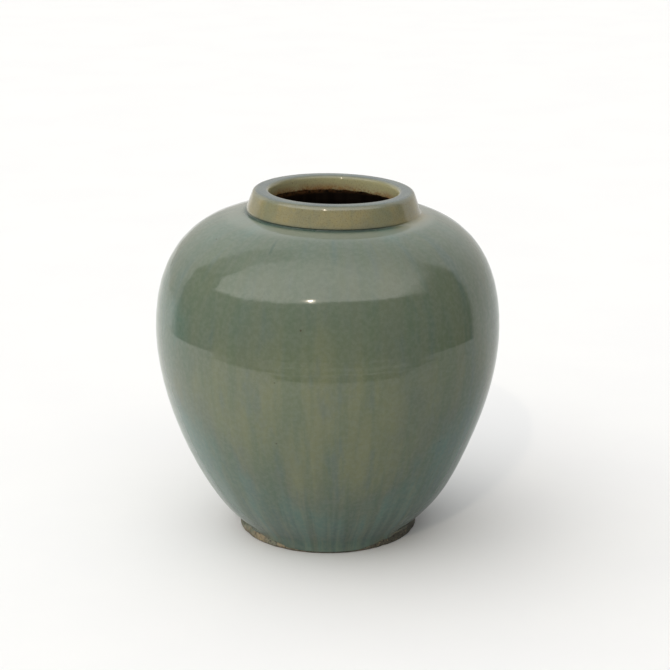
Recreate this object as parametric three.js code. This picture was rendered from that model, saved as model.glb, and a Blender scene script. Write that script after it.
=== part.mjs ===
// A wide-shouldered stoneware storage jar with a thick collar and no lid, 305 mm tall.
// It is built as a potter builds one: turned sections of clay, luted together with slip,
// then coated with celadon glaze outside and brown liner glaze inside.
//
// Millimetres, +Z up. The origin is the middle of the foot, on the ground.
// Every section is turned from a closed outline of (radius, height) points.

import * as THREE from "three";

// ---- Driving dimensions ----

const SEGMENTS = 40; // facets round each turned section

const at = (radius, height) => new THREE.Vector2(radius, height);

const FOOT_RADIUS = 79; // bare clay at the ground
const FOOT_RING_HEIGHT = 10.3; // top of the foot ring, which carries the base slab
const FOOT_RING_TOP_RADIUS = 77.2;
const FOOT_BEVEL = 1.4; // round the bottom of the foot ring
const CREASE_HEIGHT = 11; // the crease where the foot meets the body
const CREASE_RADIUS = 78.7; // glazed surface at the crease
const BELLY_RADIUS = 150; // widest point of the glazed surface
const BELLY_HEIGHT = 183.3;
const COLLAR_BASE = 285.2; // the crease where the shoulder meets the collar
const COLLAR_BASE_RADIUS = 74.1;
const COLLAR_ROLL_RADIUS = 75.2; // the collar bulges a little just above its base
const COLLAR_ROLL_HEIGHT = 287.6;
const LIP_HEIGHT = 305;
const LIP_RADIUS = 69; // outer corner of the lip, before rounding
const LIP_ROUND = 3.4; // rounding of the lip's outer edge
const MOUTH_RADIUS = 55.5;
const MOUTH_ROUND = 4.2; // rounding of the lip's inner edge

const FLOOR_HEIGHT = 19; // inside, bare clay
const FLOOR_RADIUS = 58;
const INNER_BELLY_RADIUS = 137.7;
const THROAT_RADIUS = 82; // where the shoulder starts to close into the neck
const THROAT_HEIGHT = 273;
const THROAT_TOP = 281.8; // where the neck's inside becomes straight
const RECESS_DEPTH = 7; // under the base, inside the foot ring
const RECESS_RADIUS = 62.5;
const BOSS_CLEAR = 0.5; // between the slab's boss and the foot ring round it

// Handles of the long curves: how far each control point lies from its end of the curve.
const FLANK_HANDLES = [at(20.3, 9), at(0, -75.6)];
const SHOULDER_HANDLES = [at(0, 80.4), at(29.4, -2.3)];
const INNER_FLANK_HANDLES = [at(30, 9), at(0, -78)];
const INNER_SHOULDER_HANDLES = [at(0, 72), at(24, -1)];
const THROAT_HANDLES = [at(-16, 0.7), at(0, -5.8)];

const GLAZE = 1.0; // thickness of the celadon
const GLAZE_START = 4; // height of the celadon's lower edge, on the foot
const GLAZE_START_RADIUS = 80;
const LINER = 0.7; // thickness of the brown liner glaze
const LINER_TOP = 290.7; // height at which the two glazes meet, inside the mouth
const SLIP = 1.0; // thickness of the luting slip
const SLIP_INSET = 0.7; // the foot's slip stops this far inside the edges of the ring
const CLEAR = 0.4; // gap left between neighbouring solids
const GROOVE = 3; // depth of the V that keys one wall section into the next

// The collar was luted on a little off centre and out of level.
const NECK_SHIFT = 4.8; // along +X
const NECK_TILT = THREE.MathUtils.degToRad(1.15); // down towards +X
const NECK_RIGID_RADIUS = 78; // inside this radius the neck moves as one piece
const NECK_BLEND_RADIUS = 100; // outside this radius the shoulder stays true

// ---- Materials ----

const stoneware = new THREE.MeshStandardMaterial({ color: 0x7d6848, roughness: 0.85, metalness: 0 });
const slip = new THREE.MeshStandardMaterial({ color: 0x9a8a68, roughness: 0.95, metalness: 0 });
const celadon = new THREE.MeshStandardMaterial({ color: 0x71806c, roughness: 0.12, metalness: 0 });
const brownLiner = new THREE.MeshStandardMaterial({ color: 0x2b1a0e, roughness: 0.3, metalness: 0 });

// ---- Surfaces ----

// The same line moved sideways to its left by a depth, with mitred corners.
function moved(points, depth) {
  const normals = points.slice(1).map((point, i) => {
    const along = point.clone().sub(points[i]).normalize();
    return at(-along.y, along.x);
  });
  return points.map((point, i) => {
    const before = normals[Math.max(i - 1, 0)];
    const after = normals[Math.min(i, normals.length - 1)];
    const miter = before.clone().add(after).divideScalar(1 + before.dot(after));
    return point.clone().addScaledVector(miter, depth);
  });
}

// A chain of curves, each divided into straight stretches. A place on it is counted in
// stretches from its start, so the same place means the same spot at every depth.
class Surface {
  constructor(...dividedCurves) {
    this.points = [];
    this.ends = [];
    for (const [curve, stretches] of dividedCurves) {
      if (this.points.length > 0) this.points.pop();
      this.points.push(...curve.getPoints(stretches));
      this.ends.push(this.points.length - 1);
    }
  }

  get last() {
    return this.points.length - 1;
  }

  // The first place after a start at which the surface, moved by a depth, reaches a height.
  placeAtHeight(height, depth, start) {
    const line = moved(this.points, depth);
    const next = line.findIndex((point, i) => i > start && point.y >= height);
    const rise = line[next].y - line[next - 1].y;
    return next - (line[next].y - height) / rise;
  }

  // The place a little further along than another, by a distance in millimetres.
  placeBeyond(place, distance) {
    const from = distance < 0 ? Math.ceil(place) - 1 : Math.floor(place);
    return place + distance / this.points[from].distanceTo(this.points[from + 1]);
  }

  // The line from one place to another, moved by a depth.
  between([from, to], depth) {
    const line = moved(this.points, depth);
    const pointAt = (place) => {
      const before = Math.min(Math.floor(place), this.last - 1);
      return line[before].clone().lerp(line[before + 1], place - before);
    };
    return [pointAt(from), ...line.slice(Math.floor(from) + 1, Math.ceil(to)), pointAt(to)];
  }
}

function sweep(start, [startHandle, endHandle], end) {
  const control = start.clone().add(startHandle);
  return new THREE.CubicBezierCurve(start, control, end.clone().add(endHandle), end);
}

const straight = (start, end) => new THREE.LineCurve(start, end);
const rounded = (start, corner, end) => new THREE.QuadraticBezierCurve(start, corner, end);

// The glazed outside, from the foot up over the lip and down into the mouth.
const glazeEdge = at(GLAZE_START_RADIUS, GLAZE_START);
const crease = at(CREASE_RADIUS, CREASE_HEIGHT);
const belly = at(BELLY_RADIUS, BELLY_HEIGHT);
const collarBase = at(COLLAR_BASE_RADIUS, COLLAR_BASE);
const collarRoll = at(COLLAR_ROLL_RADIUS, COLLAR_ROLL_HEIGHT);
const lipCorner = at(LIP_RADIUS, LIP_HEIGHT);
const collarTop = lipCorner.clone().lerp(collarRoll, LIP_ROUND / lipCorner.distanceTo(collarRoll));
const lipOuterEdge = at(LIP_RADIUS - LIP_ROUND, LIP_HEIGHT);
const lipInnerEdge = at(MOUTH_RADIUS + MOUTH_ROUND, LIP_HEIGHT);
const mouthCorner = at(MOUTH_RADIUS, LIP_HEIGHT);
const mouthTop = at(MOUTH_RADIUS, LIP_HEIGHT - MOUTH_ROUND);
const glazeEnd = at(MOUTH_RADIUS, LINER_TOP + GLAZE);

const outer = new Surface(
  [straight(glazeEdge, crease), 1],
  [sweep(crease, FLANK_HANDLES, belly), 10],
  [sweep(belly, SHOULDER_HANDLES, collarBase), 10],
  [straight(collarBase, collarRoll), 1],
  [straight(collarRoll, collarTop), 1],
  [rounded(collarTop, lipCorner, lipOuterEdge), 3],
  [straight(lipOuterEdge, lipInnerEdge), 1],
  [rounded(lipInnerEdge, mouthCorner, mouthTop), 3],
  [straight(mouthTop, glazeEnd), 1],
);
const [outerCrease, outerBelly, outerNeck] = outer.ends;

// The bare clay inside, from the middle of the floor up to the mouth.
const CLAY_DEPTH = GLAZE + CLEAR; // from the glazed surface down to the clay
const NECK_CLAY_RADIUS = MOUTH_RADIUS + CLAY_DEPTH;
const floorMiddle = at(0, FLOOR_HEIGHT);
const floorEdge = at(FLOOR_RADIUS, FLOOR_HEIGHT);
const widest = at(INNER_BELLY_RADIUS, BELLY_HEIGHT);
const throatStart = at(THROAT_RADIUS, THROAT_HEIGHT);
const throatTop = at(NECK_CLAY_RADIUS, THROAT_TOP);

const inner = new Surface(
  [straight(floorMiddle, floorEdge), 1],
  [sweep(floorEdge, INNER_FLANK_HANDLES, widest), 8],
  [sweep(widest, INNER_SHOULDER_HANDLES, throatStart), 8],
  [sweep(throatStart, THROAT_HANDLES, throatTop), 4],
  [straight(throatTop, at(NECK_CLAY_RADIUS, LINER_TOP)), 1],
);
const [innerFloorEdge, innerBelly, innerThroat] = inner.ends;

// ---- Luting joints ----

// Where a section stops, where its slip starts and stops, and where the next section starts.
const JOINT_LEVELS = [0, CLEAR, CLEAR + SLIP, CLEAR + SLIP + CLEAR];
const JOINT = JOINT_LEVELS.at(-1);

// The wall stands on the flat top of the base slab.
const baseJoint = JOINT_LEVELS.map((level) => ({
  outside: outer.placeAtHeight(FLOOR_HEIGHT + level, CLAY_DEPTH, outerCrease),
  inside: inner.placeAtHeight(FLOOR_HEIGHT + level, 0, innerFloorEdge),
}));
const bellyJoint = JOINT_LEVELS.map((level) => ({
  outside: outer.placeBeyond(outerBelly, level - JOINT),
  inside: inner.placeBeyond(innerBelly, level - JOINT),
}));
const neckJoint = JOINT_LEVELS.map((level) => ({
  outside: outer.placeBeyond(outerNeck, level),
  inside: inner.placeAtHeight(COLLAR_BASE - CLAY_DEPTH + level, 0, innerThroat),
}));
const mouth = { outside: outer.last, inside: inner.placeBeyond(inner.last, -CLEAR) };

// A wall between two levels. Its top edge can be grooved and its bottom edge keyed to match.
function wallSection(bottom, top, bottomGroove, topGroove) {
  const outside = outer.between([bottom.outside, top.outside], CLAY_DEPTH);
  const inside = inner.between([bottom.inside, top.inside], 0).reverse();
  const groove = (a, b, depth) => (depth > 0 ? [a.clone().lerp(b, 0.5).sub(at(0, depth))] : []);
  return [
    ...outside,
    ...groove(outside.at(-1), inside[0], topGroove),
    ...inside,
    ...groove(inside.at(-1), outside[0], bottomGroove),
  ];
}

// ---- Turning an outline into a solid ----

// Leans the neck: inside the rigid radius, everything above the belly tilts and shifts together.
function leanNeck(geometry) {
  const position = geometry.getAttribute("position");
  const pivot = new THREE.Vector3(0, 0, COLLAR_BASE);
  const tiltAxis = new THREE.Vector3(0, 1, 0);
  const point = new THREE.Vector3();
  for (let i = 0; i < position.count; i++) {
    point.fromBufferAttribute(position, i);
    if (point.z < BELLY_HEIGHT) continue;
    const radius = Math.hypot(point.x, point.y);
    const share = 1 - THREE.MathUtils.smoothstep(radius, NECK_RIGID_RADIUS, NECK_BLEND_RADIUS);
    point.sub(pivot).applyAxisAngle(tiltAxis, NECK_TILT * share).add(pivot);
    position.setXYZ(i, point.x + NECK_SHIFT * share, point.y, point.z);
  }
  return geometry;
}

// An outline that starts and ends on the axis makes a solid disc or bowl; any other a ring.
function turned(name, material, outline) {
  const onAxis = outline[0].x === 0 && outline.at(-1).x === 0;
  const profile = onAxis ? outline : [...outline, outline[0]];
  const geometry = new THREE.LatheGeometry(profile, SEGMENTS).rotateX(Math.PI / 2);
  const mesh = new THREE.Mesh(leanNeck(geometry), material);
  mesh.name = name;
  return mesh;
}

// ---- Foot and base ----

const footInnerRadius = RECESS_RADIUS + BOSS_CLEAR;
const [footTop, footSlipBottom, footSlipTop, slabUnderside] = JOINT_LEVELS.map(
  (level) => FOOT_RING_HEIGHT + level,
);

function footRing() {
  return turned("foot_ring", stoneware, [
    at(footInnerRadius + FOOT_BEVEL, 0),
    at(FOOT_RADIUS - FOOT_BEVEL, 0),
    at(FOOT_RADIUS, FOOT_BEVEL),
    at(FOOT_RING_TOP_RADIUS, footTop),
    at(footInnerRadius, footTop),
    at(footInnerRadius, FOOT_BEVEL),
  ]);
}

function footLutingSlip() {
  const innerRadius = footInnerRadius + SLIP_INSET;
  const outerRadius = FOOT_RING_TOP_RADIUS - SLIP_INSET;
  return turned("foot_luting_slip", slip, [
    at(innerRadius, footSlipBottom),
    at(outerRadius, footSlipBottom),
    at(outerRadius, footSlipTop),
    at(innerRadius, footSlipTop),
  ]);
}

// A disc with a shallow boss that drops inside the foot ring and centres it.
function baseSlab() {
  const edgeStart = outer.placeAtHeight(slabUnderside, CLAY_DEPTH, outerCrease);
  return turned("base_slab", stoneware, [
    at(0, RECESS_DEPTH),
    at(RECESS_RADIUS, RECESS_DEPTH),
    at(RECESS_RADIUS, slabUnderside),
    ...outer.between([edgeStart, baseJoint[0].outside], CLAY_DEPTH),
    at(0, FLOOR_HEIGHT),
  ]);
}

// ---- Walls, with the slip between them ----

function walls() {
  return [
    ["lower_body", stoneware, wallSection(baseJoint[3], bellyJoint[0], 0, GROOVE)],
    ["upper_body", stoneware, wallSection(bellyJoint[3], neckJoint[0], GROOVE, GROOVE)],
    ["neck_collar", stoneware, wallSection(neckJoint[3], mouth, GROOVE, 0)],
    ["base_luting_slip", slip, wallSection(baseJoint[1], baseJoint[2], 0, 0)],
    ["belly_luting_slip", slip, wallSection(bellyJoint[1], bellyJoint[2], GROOVE, GROOVE)],
    ["neck_luting_slip", slip, wallSection(neckJoint[1], neckJoint[2], GROOVE, GROOVE)],
  ].map(([name, material, outline]) => turned(name, material, outline));
}

// ---- Glaze coats ----

// One coat over a whole surface, from a depth to a deeper one.
function coat(surface, depth, thickness) {
  const whole = [0, surface.last];
  return [
    ...surface.between(whole, depth),
    ...surface.between(whole, depth + thickness).reverse(),
  ];
}

const jar = new THREE.Group();
jar.add(footRing(), footLutingSlip(), baseSlab(), ...walls());
jar.add(turned("celadon_glaze", celadon, coat(outer, 0, GLAZE)));
jar.add(turned("brown_liner_glaze", brownLiner, coat(inner, CLEAR, LINER)));

export default jar;
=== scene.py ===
"""The looks of an open stoneware jar with a celadon glaze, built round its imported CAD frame.

Profiles are in millimetres, as (radius, height) points. Blender's own units are metres.
An azimuth is in degrees round the jar: 0 faces the camera (-Y) and 90 faces +X.
"""

import math
from functools import reduce

import bpy
import numpy as np
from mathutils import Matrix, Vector


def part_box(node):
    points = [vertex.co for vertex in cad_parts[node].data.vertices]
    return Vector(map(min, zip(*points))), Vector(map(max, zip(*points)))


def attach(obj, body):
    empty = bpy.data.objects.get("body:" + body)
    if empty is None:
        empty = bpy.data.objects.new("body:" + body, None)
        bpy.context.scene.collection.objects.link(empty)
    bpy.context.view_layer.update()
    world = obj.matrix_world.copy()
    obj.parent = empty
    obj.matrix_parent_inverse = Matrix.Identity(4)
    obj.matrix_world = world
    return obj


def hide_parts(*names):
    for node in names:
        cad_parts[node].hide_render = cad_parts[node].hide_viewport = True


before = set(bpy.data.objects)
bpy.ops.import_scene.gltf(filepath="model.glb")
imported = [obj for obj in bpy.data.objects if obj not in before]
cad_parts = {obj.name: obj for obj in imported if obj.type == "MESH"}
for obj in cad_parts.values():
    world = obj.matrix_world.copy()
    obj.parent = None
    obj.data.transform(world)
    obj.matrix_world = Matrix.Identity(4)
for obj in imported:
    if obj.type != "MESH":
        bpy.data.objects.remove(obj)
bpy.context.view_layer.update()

MM = 0.001

# --- Sizes from the CAD frame, in millimetres ---


def reach(node):
    """The largest radius of a turned node. The neck leans along X only, so Y tells it."""
    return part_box(node)[1].y / MM


def bottom(node):
    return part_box(node)[0].z / MM


def top(node):
    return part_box(node)[1].z / MM


FOOT_RADIUS = reach("foot_ring")
FOOT_TOP = top("foot_ring")
RECESS_TOP = bottom("base_slab")
FLOOR_HEIGHT = top("base_slab")
BELLY_RADIUS = reach("celadon_glaze")
INNER_BELLY_RADIUS = reach("brown_liner_glaze")

# The rest of the CAD's driving dimensions, which its boxes don't show.
FOOT_TOP_RADIUS = 77.2
FOOT_BEVEL = 1.4
FOOT_INNER_RADIUS = 63
RECESS_RADIUS = 62.5
CREASE = (78.7, 11)
BELLY_HEIGHT = 183.3
COLLAR_BASE = (74.1, 285.2)
COLLAR_ROLL = (75.2, 287.6)
LIP_CORNER = (69, 305)
LIP_ROUND = 3.4
MOUTH_RADIUS = 55.5
MOUTH_ROUND = 4.2
FLOOR_RADIUS = 58
THROAT = (82, 273)
NECK_INSIDE = (56.9, 281.8)
FLANK_HANDLES = ((20.3, 9), (0, -75.6))
SHOULDER_HANDLES = ((0, 80.4), (29.4, -2.3))
INNER_FLANK_HANDLES = ((30, 9), (0, -78))
INNER_SHOULDER_HANDLES = ((0, 72), (24, -1))
THROAT_HANDLES = ((-16, 0.7), (0, -5.8))
LINER_OFFSET = 0.4
SLIP = 1.0
CLEAR = 0.4
GROOVE = 3
NECK_SHIFT = 4.8
NECK_TILT = math.radians(1.15)
NECK_RIGID_RADIUS = 78
NECK_BLEND_RADIUS = 100

# --- Surface character ---

SEED = 451
AROUND = 320  # columns round a visible piece
AROUND_HIDDEN = 120  # columns round a piece that the glaze hides

GLAZE_DEPTH = 1.35  # from the glazed surface down to the clay side of the coat
FOOT_GLAZE_DEPTH = 0.95  # the coat is thinner over the foot ring
MOUTH_GLAZE_DEPTH = 0.62  # and thinner still where it laps over the brown liner
CLAY_DEPTH = 1.42  # from the glazed surface down to the clay
EDGE_DEPTH = 1.12  # the coat's foot edge is pressed this deep, onto the clay
MOUTH_EDGE_DEPTH = 0.72
EDGE_ROLL = 1.7  # width of the rounded edge of a coat

# Height of the glaze's lower edge round the foot: (azimuth, height).
FOOT_EDGE = (
    (-180, 6.0), (-150, 3.6), (-125, 6.5), (-95, 10.0), (-75, 9.8), (-60, 9.2), (-46, 8.2),
    (-36, 6.2), (-27, 3.4), (-18, 1.7), (-5, 1.3), (10, 1.3), (20, 1.7), (26, 3.4), (34, 5.8),
    (45, 7.6), (60, 9.0), (76, 9.9), (95, 9.6), (115, 6.4), (140, 3.2), (165, 5.0), (180, 6.0),
)
# Height of the glaze's edge inside the mouth, in the collar's own upright frame.
MOUTH_EDGE = (
    (-180, 291.9), (-140, 292.2), (-100, 292.8), (-60, 292.2), (0, 291.6), (60, 291.2),
    (100, 290.6), (135, 291.0), (160, 291.6), (180, 291.9),
)
# How far the glaze fills the crease over the foot: (azimuth, share).
FOOT_FILL = (
    (-180, 0.6), (-140, 0.8), (-95, 0.1), (-78, 0.15), (-60, 0.45), (-42, 0.8), (-25, 1.0),
    (22, 1.0), (40, 0.8), (60, 0.45), (78, 0.15), (95, 0.1), (140, 0.8), (180, 0.6),
)
# How far the glaze fills the corner under the collar: (azimuth, share).
COLLAR_FILL = (
    (-180, 0.10), (-100, 0.05), (-30, 0.0), (25, 0.0), (44, 0.35), (58, 0.9), (80, 1.0),
    (105, 0.8), (130, 0.25), (180, 0.10),
)

rng = np.random.default_rng(SEED)


def azimuth_from(angle, centre=0.0):
    """The azimuth of an angle, counted from a centre, -180 to 180."""
    return (np.degrees(angle) + 90 - centre + 180) % 360 - 180


def round_the_jar(table, angle):
    """A value from an (azimuth, value) table at each angle, straight from row to row."""
    places, values = np.array(table, float).T
    return np.interp(azimuth_from(angle), places, values)


def waves(turns, rises, count):
    """A smooth random field over angle and height, seamless round the jar, about -1 to 1.

    turns is the range of whole waves round the jar, and rises that of waves per metre of height.
    """
    around = rng.integers(turns[0], turns[1] + 1, count)
    up = rng.uniform(rises[0], rises[1], count) * 2 * math.pi * rng.choice((-1, 1), count)
    phase = rng.uniform(0, 2 * math.pi, count)
    size = rng.uniform(0.5, 1, count)
    size /= np.sqrt((size**2).sum())

    def field(angle, height):
        total = np.zeros(np.broadcast(angle, height).shape)
        for m, k, p, a in zip(around, up, phase, size):
            total += a * np.cos(m * angle + k * height * MM + p)
        return total

    return field


# --- Profiles ---

STEP = 0.25  # spacing of a profile's points
CORNER_SOFTNESS = 0.6  # how far a glaze or a wet hand rounds a corner
FILLED_SOFTNESS = 3.6  # the same where glaze has filled the corner under the collar
FLOODED_SOFTNESS = 8.0  # the same where glaze has run over the crease above the foot
GLAZE_START = (80.0, 4.2)  # on the foot, where the glazed outline turns towards the crease
OUTER_END, INNER_END = 286, 300  # heights in the neck at which the two profiles stop


def sweep(start, handles, end, count=200):
    t = np.linspace(0, 1, count + 1)[:, None]
    a, d = np.array(start, float), np.array(end, float)
    b, c = a + np.array(handles[0]), d + np.array(handles[1])
    return (1 - t) ** 3 * a + 3 * (1 - t) ** 2 * t * b + 3 * (1 - t) * t**2 * c + t**3 * d


def rounded(start, corner, end, count=24):
    t = np.linspace(0, 1, count + 1)[:, None]
    a, b, c = (np.array(p, float) for p in (start, corner, end))
    return (1 - t) ** 2 * a + 2 * (1 - t) * t * b + t**2 * c


class Profile:
    """A line of (radius, height) points, evenly spaced, with the side that faces out known."""

    def __init__(self, stretches, softness=CORNER_SOFTNESS):
        """stretches are (name, points): the name marks the place where the stretch ends."""
        points, ends = [np.array(stretches[0][1][0], float)[None]], []
        for name, stretch in stretches:
            points.append(np.array(stretch, float)[1:])
            ends.append((name, sum(len(p) for p in points) - 1))
        line = np.concatenate(points)
        along = np.concatenate([[0], np.cumsum(np.linalg.norm(np.diff(line, axis=0), axis=1))])
        self.marks = {name: along[i] for name, i in ends}
        self.s = np.linspace(0, along[-1], round(along[-1] / STEP))
        even = np.stack([np.interp(self.s, along, line[:, i]) for i in (0, 1)], -1)
        self.points = self._soften(even, softness)
        tangent = np.gradient(self.points, axis=0)
        tangent /= np.linalg.norm(tangent, axis=1)[:, None]
        self.normals = np.stack([tangent[:, 1], -tangent[:, 0]], -1)

    def _soften(self, points, softness):
        """Rounds the corners. The ends run on straight, so they stay where they are."""
        spacing = self.s[1]
        margin = int(4 * softness / spacing) + 1
        offsets = np.arange(-margin, margin + 1)
        weight = np.exp(-0.5 * (offsets * spacing / softness) ** 2)
        weight /= weight.sum()
        before = points[0] - (points[1] - points[0]) * np.arange(margin, 0, -1)[:, None]
        after = points[-1] + (points[-1] - points[-2]) * np.arange(1, margin + 1)[:, None]
        padded = np.concatenate([before, points, after])
        return np.stack([np.convolve(padded[:, i], weight, "valid") for i in (0, 1)], -1)

    def at(self, s, depth=0.0):
        """The radius and height at distance s, moved to the inner side by a depth."""
        radius, height = (np.interp(s, self.s, self.points[:, i]) for i in (0, 1))
        out_r, out_z = (np.interp(s, self.s, self.normals[:, i]) for i in (0, 1))
        return radius - depth * out_r, height - depth * out_z

    def distance_at_height(self, height, after):
        """The first distance beyond a mark at which the line reaches a height."""
        start = np.searchsorted(self.s, after)
        found = start + np.argmax(self.points[start:, 1] >= height)
        return self.s[found]


def between(a, b, share):
    return tuple(np.array(a, float) + (np.array(b, float) - np.array(a, float)) * share)


def outer_profile(softness):
    """The glazed outside, from under the foot's edge up over the lip and down into the mouth."""
    belly = (BELLY_RADIUS, BELLY_HEIGHT)
    slope = np.linalg.norm(np.subtract(LIP_CORNER, COLLAR_ROLL))
    collar_top = between(LIP_CORNER, COLLAR_ROLL, LIP_ROUND / slope)
    lip_outer = (LIP_CORNER[0] - LIP_ROUND, LIP_CORNER[1])
    lip_inner = (MOUTH_RADIUS + MOUTH_ROUND, LIP_CORNER[1])
    mouth_top = (MOUTH_RADIUS, LIP_CORNER[1] - MOUTH_ROUND)
    return Profile(
        [
            ("foot", [(GLAZE_START[0] + 0.05, -2), GLAZE_START]),
            ("crease", [GLAZE_START, CREASE]),
            ("belly", sweep(CREASE, FLANK_HANDLES, belly)),
            ("collar", sweep(belly, SHOULDER_HANDLES, COLLAR_BASE)),
            ("roll", [COLLAR_BASE, COLLAR_ROLL]),
            ("collar_top", [COLLAR_ROLL, collar_top]),
            ("lip_outer", rounded(collar_top, LIP_CORNER, lip_outer)),
            ("lip_inner", [lip_outer, lip_inner]),
            ("mouth", rounded(lip_inner, (MOUTH_RADIUS, LIP_CORNER[1]), mouth_top)),
            ("end", [mouth_top, (MOUTH_RADIUS, OUTER_END)]),
        ],
        softness,
    )


def inner_profile():
    """The bare clay inside, from the middle of the floor up to the mouth."""
    floor_edge = (FLOOR_RADIUS, FLOOR_HEIGHT)
    widest = (INNER_BELLY_RADIUS + LINER_OFFSET, BELLY_HEIGHT)
    return Profile(
        [
            ("floor", [(0, FLOOR_HEIGHT), floor_edge]),
            ("belly", sweep(floor_edge, INNER_FLANK_HANDLES, widest)),
            ("throat", sweep(widest, INNER_SHOULDER_HANDLES, THROAT)),
            ("neck", sweep(THROAT, THROAT_HANDLES, NECK_INSIDE)),
            ("end", [NECK_INSIDE, (NECK_INSIDE[0], INNER_END)]),
        ]
    )


outer = outer_profile(CORNER_SOFTNESS)
outer_filled = outer_profile(FILLED_SOFTNESS)
outer_flooded = outer_profile(FLOODED_SOFTNESS)
inner = inner_profile()

# --- From profile to mesh ---


def smoothstep(x, low, high):
    t = np.clip((x - low) / (high - low), 0, 1)
    return t * t * (3 - 2 * t)


def band(x, low, full, still_full, high):
    """A value that rises from 0 to 1, stays there and falls back to 0."""
    return smoothstep(x, low, full) * (1 - smoothstep(x, still_full, high))


def bell(x, centre, width):
    return np.exp(-(((x - centre) / width) ** 2))


OVAL = 0.6  # how far the body is out of round, on the diagonals
OVAL_HEIGHTS = (15, 80, 215, 270)  # where it starts, is full, starts to fade and has gone
UNMOVED_RADII = (20, 60)  # nothing shifts inside the first, and everything outside the second
BULGE = 1.3  # the flank on the +X side is fuller low down
BULGE_HEIGHTS = (14, 42, 95)


def settle(radius, height, angle):
    """Where a turned point ends up: a little out of round, and with the neck leaning."""
    oval = OVAL * np.sin(2 * angle) * band(height, *OVAL_HEIGHTS)
    radius = radius + oval * smoothstep(radius, *UNMOVED_RADII)
    low, peak, high = BULGE_HEIGHTS
    bulge = BULGE * band(height, low, peak, peak, high) * np.clip(np.cos(angle), 0, 1) ** 2
    radius = radius + bulge * smoothstep(radius, *UNMOVED_RADII)
    x, y = radius * np.cos(angle), radius * np.sin(angle)
    share = 1 - smoothstep(np.hypot(x, y), NECK_RIGID_RADIUS, NECK_BLEND_RADIUS)
    share = share * (height >= BELLY_HEIGHT)
    turn, rise = NECK_TILT * share, height - COLLAR_BASE[1]
    leaned_x = x * np.cos(turn) + rise * np.sin(turn) + NECK_SHIFT * share
    leaned_z = rise * np.cos(turn) - x * np.sin(turn) + COLLAR_BASE[1]
    return np.stack([leaned_x, y, leaned_z], -1) * MM


def angles(count):
    return np.arange(count) * 2 * math.pi / count


def ring_faces(rows, around):
    """Quads between neighbouring rows of a grid, rows being a list of row numbers."""
    columns = np.arange(around)
    following = (columns + 1) % around
    return np.concatenate([
        np.stack([low * around + columns, low * around + following,
                  high * around + following, high * around + columns], -1)
        for low, high in zip(rows, rows[1:])
    ])


def make_mesh(name, grid, faces, extra_points=(), extra_faces=(), layers=None):
    """A smooth-shaded mesh object from a grid of points [row, column], in metres."""
    vertices = grid.reshape(-1, 3)
    if len(extra_points):
        vertices = np.concatenate([vertices, np.array(extra_points, float)])
    mesh = bpy.data.meshes.new(name)
    mesh.from_pydata(vertices.tolist(), [], [tuple(f) for f in faces.tolist()] + list(extra_faces))
    for layer, values in (layers or {}).items():
        flat = np.zeros(len(vertices), np.float32)
        flat[: values.size] = values.reshape(-1)
        mesh.attributes.new(layer, "FLOAT", "POINT").data.foreach_set("value", flat)
    mesh.validate()
    mesh.shade_smooth()
    mesh.update()
    made = bpy.data.objects.new(name, mesh)
    bpy.context.scene.collection.objects.link(made)
    return made


def closed_ring(name, grid, layers=None):
    """A tube-like solid: the grid's last row joins its first. Rows run up the outer side."""
    count, around = grid.shape[:2]
    return make_mesh(name, grid, ring_faces([*range(count), 0], around), layers=layers)


def closed_disc(name, grid, start, end):
    """A solid of turning whose first and last rows close on points on the axis."""
    count, around = grid.shape[:2]
    faces = ring_faces(list(range(count)), around)
    first, last = count * around, count * around + 1
    columns = range(around)
    caps = [(first, (c + 1) % around, c) for c in columns]
    row = (count - 1) * around
    caps += [(last, row + c, row + (c + 1) % around) for c in columns]
    return make_mesh(name, grid, faces, [start, end], caps)


# --- The celadon coat ---

# Stretches of rows up the outside, from the foot's edge: (mark, millimetres past it, rows).
OUTER_ROWS = (
    ("crease", 0, 16), ("crease", 9, 9), ("crease", 45, 14), ("belly", 0, 46),
    ("collar", -9, 48), ("collar", -1.5, 10), ("collar", -0.3, 3), ("collar", 0.5, 4),
    ("roll", 0, 6), ("collar_top", 0, 9), ("lip_outer", 0, 8), ("lip_inner", 0, 5),
    ("mouth", 0, 8), ("mouth_edge", 0, 16),
)
INNER_SIDE_STEP = 4  # every fourth row of the outside is enough, away from the corners
CORNER_REACH = 8  # how far from a corner the closely spaced rows go
NOMINAL_FOOT_EDGE = 6.0
NOMINAL_MOUTH_EDGE = 291.7

AVERAGE_TONE = 0.42
# Warm and cool areas of the glaze: (azimuth, height, half width, half height, warmth).
TONE_AREAS = (
    (-2, 150, 38, 58, 0.46), (8, 88, 24, 40, 0.22), (-32, 122, 16, 40, 0.12),
    (62, 190, 20, 40, 0.15),
    (-62, 66, 26, 60, -0.42), (58, 60, 30, 66, -0.42), (0, 8, 60, 44, -0.55),
    (-72, 200, 22, 30, -0.16), (80, 196, 18, 30, -0.16), (0, 262, 180, 30, 0.06),
    (-48, 297, 7, 14, -0.55), (34, 297, 9, 14, -0.60), (-70, 297, 9, 14, -0.2),
    (128, 150, 40, 60, 0.40), (-150, 140, 34, 50, 0.45), (172, 60, 40, 50, -0.35),
)

lobes = waves((9, 40), (0, 0), 14)
mouth_lobes = waves((5, 34), (0, 0), 12)
wobble = waves((1, 5), (2, 9), 12)
streaks = waves((10, 34), (0, 5), 26)
fine_streaks = waves((36, 90), (0, 8), 26)
throwing = waves((0, 1), (55, 110), 9)
rim_wobble = waves((1, 4), (0, 0), 5)

FOOT_LOBES, MOUTH_LOBES = 0.55, 0.34  # how far the two edges wander, in millimetres


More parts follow.
